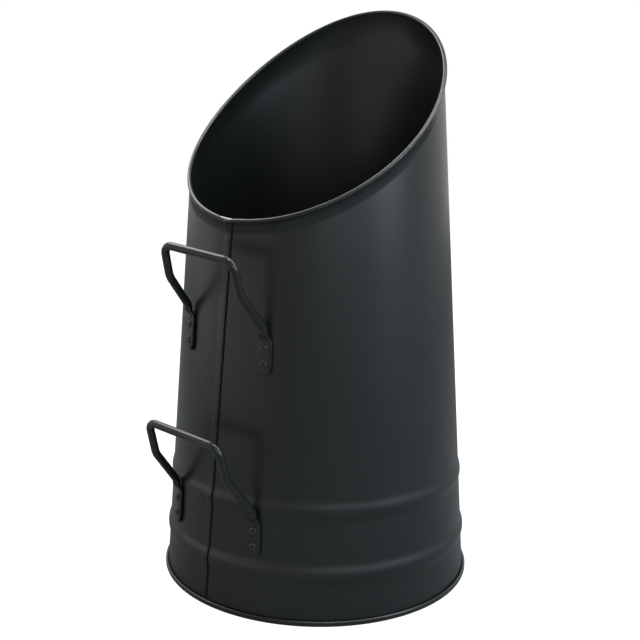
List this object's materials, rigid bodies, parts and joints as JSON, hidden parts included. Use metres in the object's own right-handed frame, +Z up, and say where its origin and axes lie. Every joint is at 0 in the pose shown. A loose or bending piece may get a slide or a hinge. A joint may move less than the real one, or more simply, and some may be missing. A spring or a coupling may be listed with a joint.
{
  "type": "coal scuttle",
  "caption": "Tall tapering sheet-steel coal scuttle with a slanted pouring mouth, swaged ribs near its foot and bent-rod carrying handles on its low side.",
  "frame": {"origin": "centre of the base, on the floor that the scuttle stands on", "axes": "+Z up, +Y towards the low side of the mouth, where the handles are, -Y towards the high pouring lip, +X to the left of someone who faces the handles"},
  "size_m": [0.285, 0.3147, 0.5137],
  "materials": {
    "powder_coat": "satin black powder coat on sheet steel",
    "rivet_finish": "black painted aluminium",
    "mandrel_steel": "dull snapped steel",
    "bare_wire": "bare drawn wire"
  },
  "bodies": {
    "root": {"body_shell": "powder_coat", "base_pan": "powder_coat", "rim_wire": "bare_wire", "upper_handle": "powder_coat", "lower_handle": "powder_coat", "rivet_upper_left_top": "rivet_finish", "rivet_upper_left_bottom": "rivet_finish", "rivet_upper_right_top": "rivet_finish", "rivet_upper_right_bottom": "rivet_finish", "rivet_lower_left_top": "rivet_finish", "rivet_lower_left_bottom": "rivet_finish", "rivet_lower_right_top": "rivet_finish", "rivet_lower_right_bottom": "rivet_finish", "mandrel_upper_left_top": "mandrel_steel", "mandrel_upper_left_bottom": "mandrel_steel", "mandrel_upper_right_top": "mandrel_steel", "mandrel_upper_right_bottom": "mandrel_steel", "mandrel_lower_left_top": "mandrel_steel", "mandrel_lower_left_bottom": "mandrel_steel", "mandrel_lower_right_top": "mandrel_steel", "mandrel_lower_right_bottom": "mandrel_steel"}
  },
  "joints": []
}
